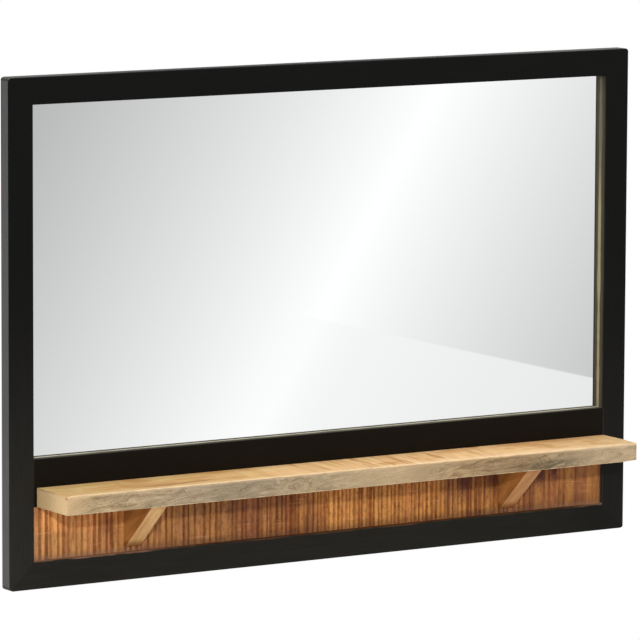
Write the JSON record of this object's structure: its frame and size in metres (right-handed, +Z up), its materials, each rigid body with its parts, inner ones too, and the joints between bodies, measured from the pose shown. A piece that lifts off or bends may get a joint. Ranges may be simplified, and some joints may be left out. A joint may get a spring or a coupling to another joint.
{
  "type": "wall mirror with shelf",
  "caption": "Wide black-framed wall mirror with a narrow raw-wood shelf on two wedge brackets in front of a saw-ribbed wood panel.",
  "frame": {"origin": "midway between the two keyhole hangers, in the plane of the frame's back face", "axes": "+X to the viewer's right, +Y back to the wall, +Z up; the mirror looks along -Y"},
  "size_m": [0.8, 0.085, 0.55],
  "materials": {
    "black_lacquer": "satin black lacquer over solid wood, thin on the inner edges",
    "shelf_wood": "raw solid wood, rough sawn, light oil",
    "bracket_wood": "raw solid wood, sanded",
    "ribbed_wood": "solid wood sawn into upright ribs, oiled",
    "dowel_wood": "plain hardwood dowel",
    "back_board": "thin pressed board, smooth brown",
    "mirror_glass": "clear float glass, silvered at the back",
    "zinc_steel": "zinc-plated steel"
  },
  "bodies": {
    "root": {"left_stile": "black_lacquer", "right_stile": "black_lacquer", "top_rail": "black_lacquer", "middle_rail": "black_lacquer", "bottom_rail": "black_lacquer", "mitre_dowels": "dowel_wood", "middle_rail_dowels": "dowel_wood", "mirror_glass": "mirror_glass", "mirror_back_board": "back_board", "back_board_screws": "zinc_steel", "ribbed_panel": "ribbed_wood", "panel_screws": "zinc_steel", "shelf_board": "shelf_wood", "shelf_screws": "zinc_steel", "left_bracket": "bracket_wood", "right_bracket": "bracket_wood", "bracket_dowels": "dowel_wood", "bracket_screws": "zinc_steel", "left_hanger_plate": "zinc_steel", "right_hanger_plate": "zinc_steel", "hanger_screws": "zinc_steel"}
  },
  "joints": []
}
